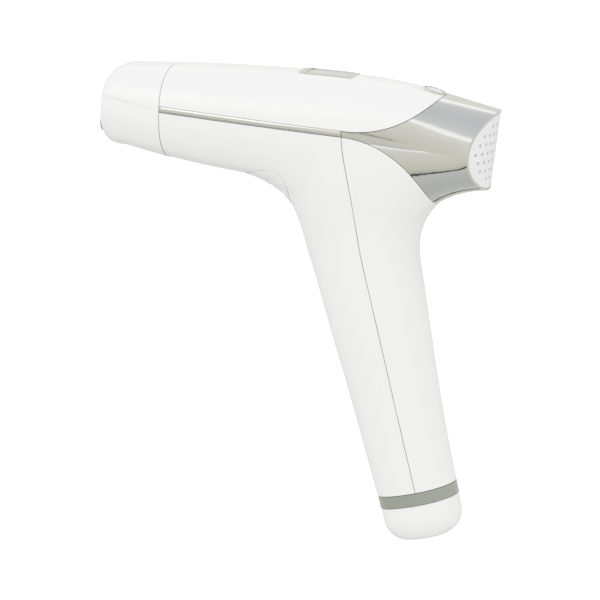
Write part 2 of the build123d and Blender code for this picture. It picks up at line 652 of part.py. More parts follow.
def power_button():
    start = POWER_PLANE.origin - POWER_PLANE.z_dir * 2.2
    button = rod(start, POWER_PLANE.z_dir, 2.5, POWER_BUTTON_RADIUS)
    top = button.edges().sort_by(lambda edge: edge.center().dot(POWER_PLANE.z_dir))[-1]
    button = fillet(top, 0.5)
    return button + rod(start - POWER_PLANE.z_dir * 1.2, POWER_PLANE.z_dir, 1.4, 1.6)


def switch_body(plane, top, size=6.0, height=3.4):
    """Tactile switch whose top lies at a height on the plane's normal."""
    return plane * Pos(0, 0, top - height / 2) * Box(size, size, height)


def power_switch_body():
    body = switch_body(POWER_PLANE, -4.2)
    return body - rod(POWER_PLANE.origin - POWER_PLANE.z_dir * 6.1, POWER_PLANE.z_dir, 3, 1.8)


def power_switch_plunger():
    return rod(POWER_PLANE.origin - POWER_PLANE.z_dir * 5.2, POWER_PLANE.z_dir, 1.75, 1.7)


def power_switch_board():
    return POWER_PLANE * Pos(-1.5, 0, POWER_BOARD_TOP - 0.55) * Box(13, 12, 1.1)


def flash_button():
    """Oval key that follows the inside corner, with the flange that holds it in."""
    button = layer(FRONT_ROWS, -FLASH_PROUD, 3.7) & flash_prism(FLASH_LENGTH - 0.6, FLASH_WIDTH - 0.6)
    flange = layer(FRONT_ROWS, 2.6, 3.7) & flash_prism(FLASH_LENGTH + 2.0, FLASH_WIDTH + 2.4)
    return button + flange + rod(FLASH_SPOT - FLASH_OUT * 6.0, FLASH_OUT, 2.8, 2.4)


def flash_switch_body():
    body = switch_body(FLASH_PLANE, -6.9)
    return body - rod(FLASH_SPOT - FLASH_OUT * 9.3, FLASH_OUT, 3, 1.8)


def flash_switch_plunger():
    return rod(FLASH_SPOT - FLASH_OUT * 8.2, FLASH_OUT, 2.1, 1.7)


def flash_switch_board():
    return FLASH_PLANE * Pos(0, 0, FLASH_BOARD_TOP - 0.55) * Box(35, 13, 1.1)


# ---------------------------------------------------------------- lamp head
HALF_TURN = np.radians([*np.arange(0, 70, 5), *np.arange(70, 120, 1.25), *np.arange(120, 181, 5)])
HEAD_ANGLES = [*(-HALF_TURN[:0:-1]), *HALF_TURN]         # closer together along the crease


def crease(point, middle, share, rise):
    """Moves a point of the head's side inwards where it lies in the groove."""
    drop = rise - (Vector(*point) - middle).dot(SQUARE_UP)
    if drop < 0:
        return point
    groove = sin(min(drop, 1.0) * pi / 2) ** 2 if drop < 1 else cos(min((drop - 1) / 6, 1) * pi / 2) ** 2
    x, y, z = point
    return (x, y - CREASE_DEPTH * groove * min(0.3 + 2 * share, 1.0) * np.sign(y), z)


def head_section(x, inset, scale=1.0, turn=0.0):
    """Section of the head's casing where its mid line is at an x, so far round the nose."""
    share = min((HEAD_SEAM_X - x) / (HEAD_SEAM_X - HEAD_ROUND_START), 1.0)
    place = HEAD_SEAM_X - (HEAD_SEAM_X - HEAD_ROUND_START) * share
    bend = 1 - cos(turn)
    mid = Vector(x, 0, strip_z(x))
    above = 114.0 - 0.9 * share - strip_z(place) - inset - (HEAD_TOP_ROUNDING - inset) * bend
    below = strip_z(place) - 73.8 - 3.7 * share - inset - (HEAD_LOW_ROUNDING - inset) * bend**1.6
    wide = 27.5 - 3.2 * share - inset - (HEAD_SIDE_ROUNDING - 0.6 * inset) * bend**1.3
    centre = mid - SQUARE_UP * (below - above) * 0.5 * (1 - scale)
    angles = EVEN_ANGLES if inset else HEAD_ANGLES
    points = round_section(centre, SQUARE_UP, above * scale, below * scale, wide * scale, 2.3, angles)
    if inset or scale < 1:
        return points
    along = max(HEAD_SEAM_X - x, 0) / (HEAD_SEAM_X - HEAD_FRONT)
    return [crease(point, mid, along, CREASE_RISE * along**1.5) for point in points]


def head_solid(inset, start_x):
    """Outer form of the head's casing, shrunk by an inset."""
    depth = HEAD_ROUND_START - HEAD_FRONT - inset
    sections = [head_section(x, inset) for x in np.linspace(start_x, HEAD_ROUND_START, 8)]
    for turn in np.linspace(0, pi / 2, 13)[1:]:
        sections.append(head_section(HEAD_ROUND_START - depth * sin(turn), inset, turn=turn))
    for scale in (0.8, 0.6, 0.4):
        sections.append(head_section(HEAD_ROUND_START - depth, inset, scale, pi / 2))
    return round_solid(sections)


HEAD_PLANE = Plane(origin=on_barrel(HEAD_FRONT), x_dir=(0, 1, 0), z_dir=BARREL)


def head_block(length, height, low, high, radius):
    """Rounded block about the window's axis, its ends measured outwards from the front face."""
    with BuildSketch(HEAD_PLANE.offset(low)) as sketch:
        RectangleRounded(length, height, radius)
    return extrude(sketch.sketch, high - low)


def lamp_head_shell():
    shell = head_solid(0, HEAD_SEAM_X + 4) - head_solid(WALL, HEAD_SEAM_X + 6)
    keep = block((-140, HEAD_SEAM_X - HALF_GAP), (-40, 40), (50, 140))
    shell = shell & keep
    return shell - head_block(FRAME_LENGTH + 0.1, FRAME_HEIGHT + 0.1, -4, 3, 6.05)


def contact_frame():
    frame = head_block(FRAME_LENGTH, FRAME_HEIGHT, -3.4, 0.35, 6.0)
    frame -= head_block(WINDOW_LENGTH, WINDOW_HEIGHT, -1.6, 1, 1.2)
    frame -= head_block(WINDOW_LENGTH + 4.1, WINDOW_HEIGHT + 4.1, -4, -1.6, 1.5)
    return frame - [rod(spot - BARREL * 4, BARREL, 6, 0.85) for spot in sensor_spots()]


def sensor_spots():
    return [on_barrel(HEAD_FRONT, drop, y) for drop in (-8.2, 8.2) for y in (-9, 9)]


def skin_sensors():
    """Contact pins over and under the window, with rounded tips."""
    sensors = []
    for spot in sensor_spots():
        pin = rod(spot - BARREL * 5, BARREL, 5.5, 0.8)
        sensors.append(fillet(pin.edges().sort_by(lambda edge: edge.center().dot(BARREL))[-1], 0.3))
    return Compound(sensors)


def flash_window():
    return head_block(WINDOW_LENGTH + 4.0, WINDOW_HEIGHT + 4.0, -3.3, -1.65, 1.4)


def reflector():
    """Trough behind the window, open at both ends for the tube."""
    trough = head_block(WINDOW_LENGTH + 4.0, WINDOW_HEIGHT + 4.0, -17.5, -3.45, 1.4)
    cavity = head_block(WINDOW_LENGTH + 2.4, WINDOW_HEIGHT + 2.4, TUBE_DEPTH, -3, 1.0)
    cavity += rod(on_barrel(HEAD_FRONT - TUBE_DEPTH, y=-16.2), (0, 1, 0), 32.4, 4.8)
    return trough - cavity - rod(on_barrel(HEAD_FRONT - TUBE_DEPTH, y=-25), (0, 1, 0), 50, 3.4)


def xenon_tube():
    return rod(on_barrel(HEAD_FRONT - TUBE_DEPTH, y=-16.0), (0, 1, 0), 32.0, 2.9)


def tube_end_caps():
    centre = HEAD_FRONT - TUBE_DEPTH
    return Compound([rod(on_barrel(centre, y=side * 16.0), (0, side, 0), 3.4, 3.3) for side in (-1, 1)])


def lamp_carrier():
    """Plate behind the reflector that carries it in the head."""
    plate = head_block(36, 22, -23, -17.6, 5)
    return plate - head_block(30, 3, -24, -19.6, 1)


def head_spigot():
    """Ring that carries the head in the mouth of the body."""
    collar = mouth_prism(SPIGOT, -37.5, -26.2)
    collar -= mouth_prism([size - 2.0 for size in SPIGOT], -38, -28.4)
    return collar - head_block(20.2, 12.2, -39, -20, 1)


def mouth_prism(sizes, low, high):
    """Prism along the barrel with the rounded section of its mouth."""
    above, below, wide = sizes
    middle = in_head(0, low) + SQUARE_UP * MOUTH_RISE
    section = round_section(middle, SQUARE_UP, above, below, wide, 2.3)
    face = Face(Wire([Edge.make_spline([Vector(*point) for point in section[:-1]], periodic=True)]))
    return extrude(face, high - low, dir=BARREL)


def pin_spots(low):
    return [on_barrel(HEAD_FRONT, y=y) + BARREL * low for y in (-6.6, -2.2, 2.2, 6.6)]


def head_plug():
    return head_block(20, 12, -36, -25.8, 1) - [rod(spot, BARREL, 8.2, 1.3) for spot in pin_spots(-37)]


def plug_sleeves():
    return Compound([rod(spot, BARREL, 7, 1.25, 0.95) for spot in pin_spots(-35.9)])


def wire(points, radius, bend):
    """Insulated lead along straight runs joined by arcs."""
    path = Wire(FilletPolyline(*points, radius=bend).edges())
    plane = Plane(origin=path @ 0, z_dir=path % 0)
    with BuildSketch(plane) as sketch:
        Circle(radius)
    return sweep(sketch.sketch, path=path)


def in_head(y, low, drop=0.0):
    return on_barrel(HEAD_FRONT, drop, y) + BARREL * low


def lamp_wires():
    """Leads from the tube's ends round the carrier to the plug."""
    wires = []
    for side in (-1, 1):
        points = [in_head(side * y, low) for y, low in (
            (19.4, TUBE_DEPTH), (21.1, TUBE_DEPTH), (21.1, -24.5), (6.6, -24.5), (6.6, -25.75))]
        wires.append(wire(points, 0.55, 0.9))
    return Compound(wires)


# ---------------------------------------------------------------- lamp socket in the body
def lamp_socket():
    """Bulkhead across the mouth of the body, with the socket's housing behind it."""
    plate = mouth_prism(BULKHEAD, -40.5, -38.3)
    housing = head_block(22, 10, -46, -40.4, 1)
    return plate + housing - [rod(spot, BARREL, 20, 0.8) for spot in pin_spots(-50)]


def socket_pins():
    pins = []
    for spot in pin_spots(-48):
        pin = rod(spot, BARREL, 18, 0.8)
        pins.append(fillet(pin.edges().sort_by(lambda edge: edge.center().dot(BARREL))[-1], 0.5))
    return Compound(pins)


def socket_leads():
    """Leads from the socket's outer pins down to the main board."""
    leads = []
    for side in (-1, 1):
        start = in_head(side * 6.6, -48.1)
        points = [start, start - BARREL * 4.5, Vector(start.X + 6.5, side * 6.6, BOARD_TOP + 0.4)]
        leads.append(wire(points, 0.6, 1.5))
    return Compound(leads)


# ---------------------------------------------------------------- electronics in the barrel
def on_board(x, y, height, rise=0.0):
    """Block that stands on the main board."""
    return block(x, y, (BOARD_TOP + rise, BOARD_TOP + rise + height))


def board_screw_spots():
    return [(x, y) for x in BOARD_SCREW_X for y in (-BOARD_SCREW_Y, BOARD_SCREW_Y)]


def main_board():
    board = block((-73, 8), (-21, 21), (BOARD_TOP - BOARD_THICKNESS, BOARD_TOP))
    board = fillet(board.edges().filter_by(Axis.Z), 2.0)
    return board - [rod((x, y, 80), (0, 0, 1), 12, 1.0) for x, y in board_screw_spots()]


def board_screws():
    return Compound([pan_screw((x, y, BOARD_TOP), (0, 0, -1), 5.0) for x, y in board_screw_spots()])


def transformer_core():
    core = on_board((TRANSFORMER_X - 10, TRANSFORMER_X + 10), (-8, 8), 14, 0.6)
    windows = [on_board((TRANSFORMER_X + side * 5.4 - 2.2, TRANSFORMER_X + side * 5.4 + 2.2), (-9, 9), 9, 3.1)
               for side in (-1, 1)]
    return core - windows


def transformer_coil():
    coil = on_board((TRANSFORMER_X - 7.4, TRANSFORMER_X + 7.4), (-11.5, 11.5), 8.4, 3.4)
    coil = fillet(coil.edges().filter_by(Axis.Z), 1.5)
    return coil - on_board((TRANSFORMER_X - 3.3, TRANSFORMER_X + 3.3), (-8.1, 8.1), 20, -2) - [
        on_board((TRANSFORMER_X + side * 9.0 - 1.5, TRANSFORMER_X + side * 9.0 + 1.5), (-8.1, 8.1), 20, -2)
        for side in (-1, 1)]


def trigger_coil():
    drum = rod((-36, 10, BOARD_TOP + 5.4), (1, 0, 0), 15, 5.2)
    for x in (-33.5, -29.5, -25.5):
        drum -= rod((x, 10, BOARD_TOP + 5.4), (1, 0, 0), 1.0, 6, 4.4)
    return drum


def film_capacitor():
    box = on_board((-37, -19), (-15.5, -7), 11.5, 0.2)
    return fillet(box.edges().filter_by(Axis.Z), 1.2)


def heat_sink():
    base = on_board((-14, 4), (-17, -14.8), 13, 0.2)
    for k in range(6):
        x = -13.6 + k * 3.3
        base += on_board((x, x + 1.1), (-14.9, -8), 13, 0.2)
    return base


def power_transistor():
    body = on_board((-10, 0), (-19.4, -17.05), 11, 1.2)
    return fillet(body.edges().filter_by(Axis.Y), 0.5)


def control_chip():
    chip = on_board((-12, -2), (2, 12), 1.4, 0.25)
    for k in range(8):
        place = -11 + k * 1.15
        chip += on_board((place, place + 0.5), (1.0, 13.0), 0.5, 0.05)
    return chip


# ---------------------------------------------------------------- storage capacitor in the handle
def storage_capacitor():
    can = rod(on_handle(CAPACITOR_BOTTOM, 0.2), HANDLE, CAPACITOR_LENGTH, CAPACITOR_RADIUS)
    ends = can.edges().sort_by(lambda edge: edge.center().dot(HANDLE))
    can = fillet([ends[0], ends[-1]], 1.2)
    groove = on_handle(CAPACITOR_BOTTOM + CAPACITOR_LENGTH - 5, 0.2)
    return can - rod(groove, HANDLE, 1.6, CAPACITOR_RADIUS + 1, CAPACITOR_RADIUS - 0.7)


def capacitor_cradle():
    """Two soft rings that hold the capacitor in the handle."""
    rings = []
    for height in (-40, 0):
        outer = 14.6 if height < -20 else 15.8
        ring = rod(on_handle(height, 0.2), HANDLE, 5, outer, CAPACITOR_RADIUS + 0.05)
        rings.append(ring - rod(on_handle(height - 1, 15.0), HANDLE, 8, 1.9))
    return Compound(rings)


def capacitor_leads():
    top = CAPACITOR_BOTTOM + CAPACITOR_LENGTH
    leads = []
    for side in (-1, 1):
        points = [
            on_handle(top + 0.05, 0.2, side * 5), on_handle(top + 24, 1.5, side * 5),
            Vector(-16, side * 9, 68), Vector(-17, side * 10, BOARD_TOP - BOARD_THICKNESS - 0.05),
        ]
        leads.append(wire(points, 1.0, 6))
    return Compound(leads)


def dc_leads():
    """Supply leads from the jack, up behind the capacitor, to the main board."""
    start = FOOT_END + COLLAR_DEPTH + 11.8
    leads = []
    for side in (-1, 1):
        points = [
            on_handle(start, 1.5, side * 1.6), on_handle(-58, 4, side * 1.2),
            on_handle(-50, 15.05, side * 0.75), on_handle(16, 15.05, side * 0.75),
            on_handle(52, 8, side * 2),
            Vector(-3, side * 3, BOARD_TOP - BOARD_THICKNESS - 0.05),
        ]
        leads.append(wire(points, 0.55, 4))
    return Compound(leads)


# ---------------------------------------------------------------- fan in the tail
def fan_axis(x):
    return Vector(x, 0, FAN_Z)


def fan_frame():
    half = FAN_SIZE / 2
    frame = block((FAN_X, FAN_X + FAN_DEPTH), (-half, half), (FAN_Z - half, FAN_Z + half))
    frame = fillet(frame.edges().filter_by(Axis.X), 1.6)
    frame -= rod(fan_axis(FAN_X - 1), (1, 0, 0), FAN_DEPTH + 2, 11.6)
    for y, z in FAN_CORNERS:
        frame -= rod((FAN_X - 1, y, FAN_Z + z), (1, 0, 0), FAN_DEPTH + 2, 1.25)
    hub = rod(fan_axis(FAN_X), (1, 0, 0), 1.2, 5.6)
    for k in range(3):
        strut = block((FAN_X, FAN_X + 1.2), (-0.9, 0.9), (4.5, 12.2))
        hub += Pos(0, 0, FAN_Z) * Rot(120 * k + 20, 0, 0) * strut
    return frame + hub - rod(fan_axis(FAN_X - 1), (1, 0, 0), 4, 0.75)


def fan_rotor():
    """Hub cup with seven blades, turning about the fan's axis."""
    hub = rod(fan_axis(FAN_X + 1.8), (1, 0, 0), 7.4, 5.2)
    hub -= rod(fan_axis(FAN_X + 1.7), (1, 0, 0), 5.6, 4.4)
    boss = rod(fan_axis(FAN_X + 5.0), (1, 0, 0), 4.2, 1.6)
    hub += boss
    for k in range(7):
        blade = Pos(FAN_X + 5.5, 0, 7.9) * Rot(0, 0, 38) * Box(7.6, 0.8, 6.4)
        hub += Pos(0, 0, FAN_Z) * Rot(360 / 7 * k, 0, 0) * blade
    return hub - rod(fan_axis(FAN_X), (1, 0, 0), 8.2, 0.8)


def fan_shaft():
    return rod(fan_axis(FAN_X), (1, 0, 0), 8.0, 0.75)


def fan_stator():
    """Wound stator inside the rotor's cup."""
    stator = rod(fan_axis(FAN_X + 1.25), (1, 0, 0), 3.2, 2.0, 0.8)
    for k in range(4):
        pole = block((FAN_X + 1.6, FAN_X + 4.2), (-0.7, 0.7), (1.5, 3.8))
        head = block((FAN_X + 1.6, FAN_X + 4.2), (-1.5, 1.5), (3.3, 3.9))
        stator += Pos(0, 0, FAN_Z) * Rot(90 * k, 0, 0) * (pole + head)
    return stator


def fan_bracket():
    plate = block((FAN_X - 2.1, FAN_X - 0.05), (-18, 18), (FAN_Z - 12.5, FAN_Z + 13))
    plate = fillet(plate.edges().filter_by(Axis.X), 5)
    plate -= rod(fan_axis(FAN_X - 5), (1, 0, 0), 10, 11.6)
    return plate - [rod((FAN_X - 5, y, FAN_Z + z), (1, 0, 0), 10, 0.95) for y, z in FAN_CORNERS]


def fan_screws():
    head_x = FAN_X + FAN_DEPTH
    return Compound([pan_screw((head_x, y, FAN_Z + z), (-1, 0, 0), 12.6, 0.95) for y, z in FAN_CORNERS])


def fan_leads():
    leads = []
    for side in (-1, 1):
        points = [
            (FAN_X - 2.2, side * 1.2, FAN_Z - 14.2), (14, side * 1.2, FAN_Z - 13), (4, side * 1.4, FAN_Z - 7),
            (3, side * 1.6, BOARD_TOP - BOARD_THICKNESS - 0.05),
        ]
        leads.append(wire([Vector(*point) for point in points], 0.5, 2))
    return Compound(leads)


# ---------------------------------------------------------------- the assembly
def side_strip_right():
    return side_strips()[0]


def side_strip_left():
    return side_strips()[1]


PIECES = (
    top_shell, front_shell, rear_handle_shell, tail_trim, exhaust_grille, side_strip_right, side_strip_left,
    handle_band, handle_end_cap, dc_jack, dc_contact_pin, dc_leads,
    display_bezel, display_window, display_module, display_board, display_board_screws,
    power_button_ring, power_button, power_switch_body, power_switch_plunger, power_switch_board,
    flash_button, flash_switch_body, flash_switch_plunger, flash_switch_board,
    lamp_head_shell, contact_frame, skin_sensors, flash_window, reflector, xenon_tube, tube_end_caps,
    lamp_carrier, lamp_wires, head_spigot, head_plug, plug_sleeves, lamp_socket, socket_pins, socket_leads,
    main_board, board_screws, transformer_core, transformer_coil, trigger_coil, film_capacitor,
    heat_sink, power_transistor, control_chip, storage_capacitor, capacitor_cradle, capacitor_leads,
    fan_frame, fan_rotor, fan_shaft, fan_stator, fan_bracket, fan_screws, fan_leads,
)

if __name__ == "__main__":
    os.makedirs("parts", exist_ok=True)
    for piece in PIECES:
        export_step(piece(), f"parts/{piece.__name__}.step")
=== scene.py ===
import json

from math import cos, pi, radians, sin

import bpy
from mathutils import Matrix, Vector
from mathutils.bvhtree import BVHTree


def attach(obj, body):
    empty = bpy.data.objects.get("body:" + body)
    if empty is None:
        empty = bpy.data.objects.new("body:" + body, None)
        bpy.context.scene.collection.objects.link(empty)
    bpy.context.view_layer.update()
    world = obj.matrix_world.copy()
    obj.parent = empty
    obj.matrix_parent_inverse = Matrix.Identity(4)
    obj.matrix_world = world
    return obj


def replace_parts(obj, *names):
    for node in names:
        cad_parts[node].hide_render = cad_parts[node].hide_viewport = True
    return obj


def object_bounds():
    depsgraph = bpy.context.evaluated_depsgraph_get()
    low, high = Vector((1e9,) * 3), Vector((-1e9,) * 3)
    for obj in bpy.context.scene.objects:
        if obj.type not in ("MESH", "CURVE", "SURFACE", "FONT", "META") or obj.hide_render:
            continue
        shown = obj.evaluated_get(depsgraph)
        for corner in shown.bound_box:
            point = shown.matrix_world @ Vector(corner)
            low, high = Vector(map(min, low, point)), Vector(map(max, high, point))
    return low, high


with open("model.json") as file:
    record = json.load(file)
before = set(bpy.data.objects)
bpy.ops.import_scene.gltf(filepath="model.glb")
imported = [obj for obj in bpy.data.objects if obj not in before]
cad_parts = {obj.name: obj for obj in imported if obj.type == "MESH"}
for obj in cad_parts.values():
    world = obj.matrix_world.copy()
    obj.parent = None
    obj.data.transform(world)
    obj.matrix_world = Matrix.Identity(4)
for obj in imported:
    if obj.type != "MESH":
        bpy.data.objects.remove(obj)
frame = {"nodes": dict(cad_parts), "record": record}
cad_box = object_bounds()
nodes = frame["nodes"]
MM = 0.001


# ---------------------------------------------------------------- materials

def new_material(name):
    material = bpy.data.materials.new(name)
    material.use_nodes = True
    tree = material.node_tree
    return material, tree, tree.nodes["Principled BSDF"]


def noise(tree, coords, scale, detail=3.0, roughness=0.5, stretch=None):
    """Noise in metres of the object's own space; stretch scales the three axes for a grain."""
    source = coords
    if stretch:
        mapping = tree.nodes.new("ShaderNodeMapping")
        mapping.inputs["Scale"].default_value = stretch
        tree.links.new(coords, mapping.inputs["Vector"])
        source = mapping.outputs["Vector"]
    texture = tree.nodes.new("ShaderNodeTexNoise")
    texture.inputs["Scale"].default_value = scale
    texture.inputs["Detail"].default_value = detail
    texture.inputs["Roughness"].default_value = roughness
    tree.links.new(source, texture.inputs["Vector"])
    return texture.outputs["Fac"]


def spread(tree, value, low, high, start=0.3, stop=0.7):
    """Maps a noise's middle range to low..high."""
    node = tree.nodes.new("ShaderNodeMapRange")
    for key, number in (("From Min", start), ("From Max", stop), ("To Min", low), ("To Max", high)):
        node.inputs[key].default_value = number
    tree.links.new(value, node.inputs["Value"])
    return node.outputs["Result"]


def two_tone(tree, value, first, second, start=0.35, stop=0.65):
    ramp = tree.nodes.new("ShaderNodeValToRGB")
    ramp.color_ramp.elements[0].position = start
    ramp.color_ramp.elements[0].color = (*first, 1)
    ramp.color_ramp.elements[1].position = stop
    ramp.color_ramp.elements[1].color = (*second, 1)
    tree.links.new(value, ramp.inputs["Fac"])
    return ramp.outputs["Color"]


def bump(tree, shader, height, strength, distance):
    node = tree.nodes.new("ShaderNodeBump")
    node.inputs["Strength"].default_value = strength
    node.inputs["Distance"].default_value = distance
    tree.links.new(height, node.inputs["Height"])
    tree.links.new(node.outputs["Normal"], shader.inputs["Normal"])


def surface(name, tones, rough, tone_scale, rough_scale, grain_scale, grain, depth, stretch=None,
            **constants):
    """Moulded or machined surface: two close tones, uneven gloss and a fine grain.

    The scales are noise cells per metre and depth is the grain's height in metres.
    """
    material, tree, shader = new_material(name)
    coords = tree.nodes.new("ShaderNodeTexCoord").outputs["Object"]
    colour = two_tone(tree, noise(tree, coords, tone_scale, 4), *tones)
    tree.links.new(colour, shader.inputs["Base Color"])
    gloss = noise(tree, coords, rough_scale, 4, 0.6, stretch)
    tree.links.new(spread(tree, gloss, *rough), shader.inputs["Roughness"])
    bump(tree, shader, noise(tree, coords, grain_scale, 2, 0.5, stretch), grain, depth)
    for key, number in constants.items():
        label = key.replace("_", " ").title().replace("Ior", "IOR")
        shader.inputs[label].default_value = number
    return material


BOARD_MASK = (0.012, 0.105, 0.045, 1), (0.016, 0.125, 0.055, 1)
BOARD_TRACK = (0.03, 0.2, 0.085, 1)
BOARD_PAD = (0.62, 0.6, 0.52, 1)
TRACK_SCALE, PAD_SCALE, WIRE_SCALE = 260, 330, 620      # repeats per metre
PAD_EDGE = (0.12, 0.16)           # distances from a pad's middle where its metal ends


def board_material():
    """Green solder mask with raised tracks and a few tinned pads."""
    material, tree, shader = new_material("board")
    coords = tree.nodes.new("ShaderNodeTexCoord").outputs["Object"]
    tracks = tree.nodes.new("ShaderNodeTexBrick")
    tracks.inputs["Scale"].default_value = TRACK_SCALE
    tracks.inputs["Mortar Size"].default_value = 0.06
    tracks.inputs["Color1"].default_value = BOARD_MASK[0]
    tracks.inputs["Color2"].default_value = BOARD_MASK[1]
    tracks.inputs["Mortar"].default_value = BOARD_TRACK
    tree.links.new(coords, tracks.inputs["Vector"])
    pads = tree.nodes.new("ShaderNodeTexVoronoi")
    pads.inputs["Scale"].default_value = PAD_SCALE
    tree.links.new(coords, pads.inputs["Vector"])
    mask = spread(tree, pads.outputs["Distance"], 1, 0, *PAD_EDGE)
    mix = tree.nodes.new("ShaderNodeMix")
    mix.data_type = "RGBA"
    tree.links.new(mask, mix.inputs["Factor"])
    tree.links.new(tracks.outputs["Color"], mix.inputs["A"])
    mix.inputs["B"].default_value = BOARD_PAD
    tree.links.new(mix.outputs["Result"], shader.inputs["Base Color"])
    gloss = spread(tree, noise(tree, coords, 400), 0.28, 0.42)
    tree.links.new(gloss, shader.inputs["Roughness"])
    bump(tree, shader, tracks.outputs["Fac"], 0.3, 0.00005)
    return material


def winding_material(name, light, dark, axis):
    """Turns of enamelled wire across the given axis."""
    material, tree, shader = new_material(name)
    coords = tree.nodes.new("ShaderNodeTexCoord").outputs["Object"]
    turns = tree.nodes.new("ShaderNodeTexWave")
    turns.bands_direction = axis
    turns.inputs["Scale"].default_value = WIRE_SCALE
    turns.inputs["Distortion"].default_value = 0.6
    turns.inputs["Detail"].default_value = 1
    tree.links.new(coords, turns.inputs["Vector"])
    colour = two_tone(tree, turns.outputs["Fac"], dark, light, 0.1, 0.8)
    tree.links.new(colour, shader.inputs["Base Color"])
    gloss = spread(tree, noise(tree, coords, 500), 0.25, 0.4)
    tree.links.new(gloss, shader.inputs["Roughness"])
    bump(tree, shader, turns.outputs["Fac"], 0.7, 0.0001)
    shader.inputs["Metallic"].default_value = 0.85
    return material


def near(colour, step):
    return tuple(max(0.0, c - step) for c in colour)


WHITE = (0.93, 0.93, 0.928)
CHROME = (0.80, 0.80, 0.79)
DARK_CHROME = (0.50, 0.535, 0.515)

looks = {
    "white_shell": surface(
        "white_shell", (WHITE, near(WHITE, 0.012)), rough=(0.28, 0.33), tone_scale=14,
        rough_scale=240, grain_scale=1500, grain=0.02, depth=8e-6, coat_weight=0.2,
        coat_roughness=0.15, ior=1.49),
    "white_trim": surface(
        "white_trim", ((0.9, 0.9, 0.92), (0.88, 0.88, 0.9)), rough=(0.32, 0.4), tone_scale=30,
        rough_scale=260, grain_scale=1500, grain=0.03, depth=1e-5, ior=1.49),
    "chrome_trim": surface(
        "chrome_trim", (CHROME, near(CHROME, 0.03)), rough=(0.05, 0.1), tone_scale=40,
        rough_scale=180, grain_scale=900, grain=0.02, depth=1e-5, metallic=1.0),
    "dark_chrome_trim": surface(
        "dark_chrome_trim", (DARK_CHROME, near(DARK_CHROME, 0.02)), rough=(0.06, 0.11),
        tone_scale=40, rough_scale=180, grain_scale=900, grain=0.02, depth=1e-5, metallic=1.0),
    "display_glass": surface(
        "display_glass", ((0.86, 0.88, 0.87), (0.83, 0.855, 0.845)), rough=(0.05, 0.1),
        tone_scale=90, rough_scale=300, grain_scale=700, grain=0.02, depth=1e-5, ior=1.5,
        transmission_weight=0.3, coat_weight=0.6, coat_roughness=0.03),
    "filter_glass": surface(
        "filter_glass", ((0.9, 0.8, 0.62), (0.88, 0.77, 0.58)), rough=(0.03, 0.08), tone_scale=80,
        rough_scale=300, grain_scale=700, grain=0.02, depth=1e-5, ior=1.5,
        transmission_weight=0.85),
    "tube_glass": surface(
        "tube_glass", ((0.93, 0.95, 0.97), (0.9, 0.93, 0.96)), rough=(0.02, 0.06), tone_scale=100,
        rough_scale=300, grain_scale=700, grain=0.02, depth=1e-5, ior=1.46,
        transmission_weight=0.9),
    "reflector_metal": surface(
        "reflector_metal", ((0.9, 0.9, 0.91), (0.85, 0.85, 0.87)), rough=(0.12, 0.22),
        tone_scale=120, rough_scale=400, grain_scale=1200, grain=0.08, depth=3e-5,
        stretch=(1, 12, 1), metallic=1.0),
    "sensor_metal": surface(
        "sensor_metal", ((0.74, 0.71, 0.65), (0.68, 0.65, 0.6)), rough=(0.2, 0.32),
        tone_scale=200, rough_scale=600, grain_scale=1800, grain=0.1, depth=3e-5, metallic=1.0),
    "black_plastic": surface(
        "black_plastic", ((0.022, 0.022, 0.025), (0.032, 0.032, 0.035)), rough=(0.42, 0.6),
        tone_scale=90, rough_scale=350, grain_scale=2200, grain=0.25, depth=5e-5, ior=1.5),
    "white_plastic_inner": surface(
        "white_plastic_inner", ((0.8, 0.795, 0.77), (0.76, 0.75, 0.72)), rough=(0.4, 0.55),
        tone_scale=70, rough_scale=300, grain_scale=2200, grain=0.2, depth=4e-5, ior=1.48),
    "switch_plunger": surface(
        "switch_plunger", ((0.36, 0.05, 0.04), (0.31, 0.04, 0.035)), rough=(0.35, 0.5),
        tone_scale=200, rough_scale=500, grain_scale=2400, grain=0.2, depth=4e-5),
    "circuit_board": board_material(),
    "steel_fastener": surface(
        "steel_fastener", ((0.6, 0.6, 0.6), (0.52, 0.52, 0.53)), rough=(0.22, 0.38),
        tone_scale=300, rough_scale=800, grain_scale=2000, grain=0.12, depth=3e-5,
        stretch=(1, 1, 9), metallic=1.0),
    "ferrite": surface(
        "ferrite", ((0.05, 0.05, 0.055), (0.075, 0.075, 0.08)), rough=(0.5, 0.7), tone_scale=500,
        rough_scale=700, grain_scale=1800, grain=0.5, depth=1e-4),
    "copper_winding": winding_material(
        "copper_winding", (0.72, 0.33, 0.14), (0.3, 0.11, 0.04), "X"),
    "resin_blue": surface(
        "resin_blue", ((0.04, 0.11, 0.38), (0.03, 0.09, 0.33)), rough=(0.15, 0.28),
        tone_scale=120, rough_scale=300, grain_scale=900, grain=0.15, depth=6e-5,
        coat_weight=0.4),
    "aluminium_part": surface(
        "aluminium_part", ((0.76, 0.77, 0.78), (0.7, 0.71, 0.73)), rough=(0.3, 0.45),
        tone_scale=200, rough_scale=500, grain_scale=1500, grain=0.15, depth=4e-5,
        stretch=(1, 1, 10), metallic=1.0),
    "capacitor_sleeve": surface(
        "capacitor_sleeve", ((0.04, 0.04, 0.055), (0.055, 0.055, 0.075)), rough=(0.2, 0.32),
        tone_scale=80, rough_scale=250, grain_scale=900, grain=0.12, depth=5e-5, coat_weight=0.3),
    "wire_insulation": surface(
        "wire_insulation", ((0.5, 0.035, 0.03), (0.42, 0.03, 0.025)), rough=(0.32, 0.48),
        tone_scale=150, rough_scale=500, grain_scale=1800, grain=0.2, depth=4e-5),
}

for part in frame["record"]["subparts"]:
    mesh = nodes[part["node"]].data
    mesh.materials.clear()
    mesh.materials.append(looks[part["material_slot"]])


# ---------------------------------------------------------------- shapes finer than the CAD's

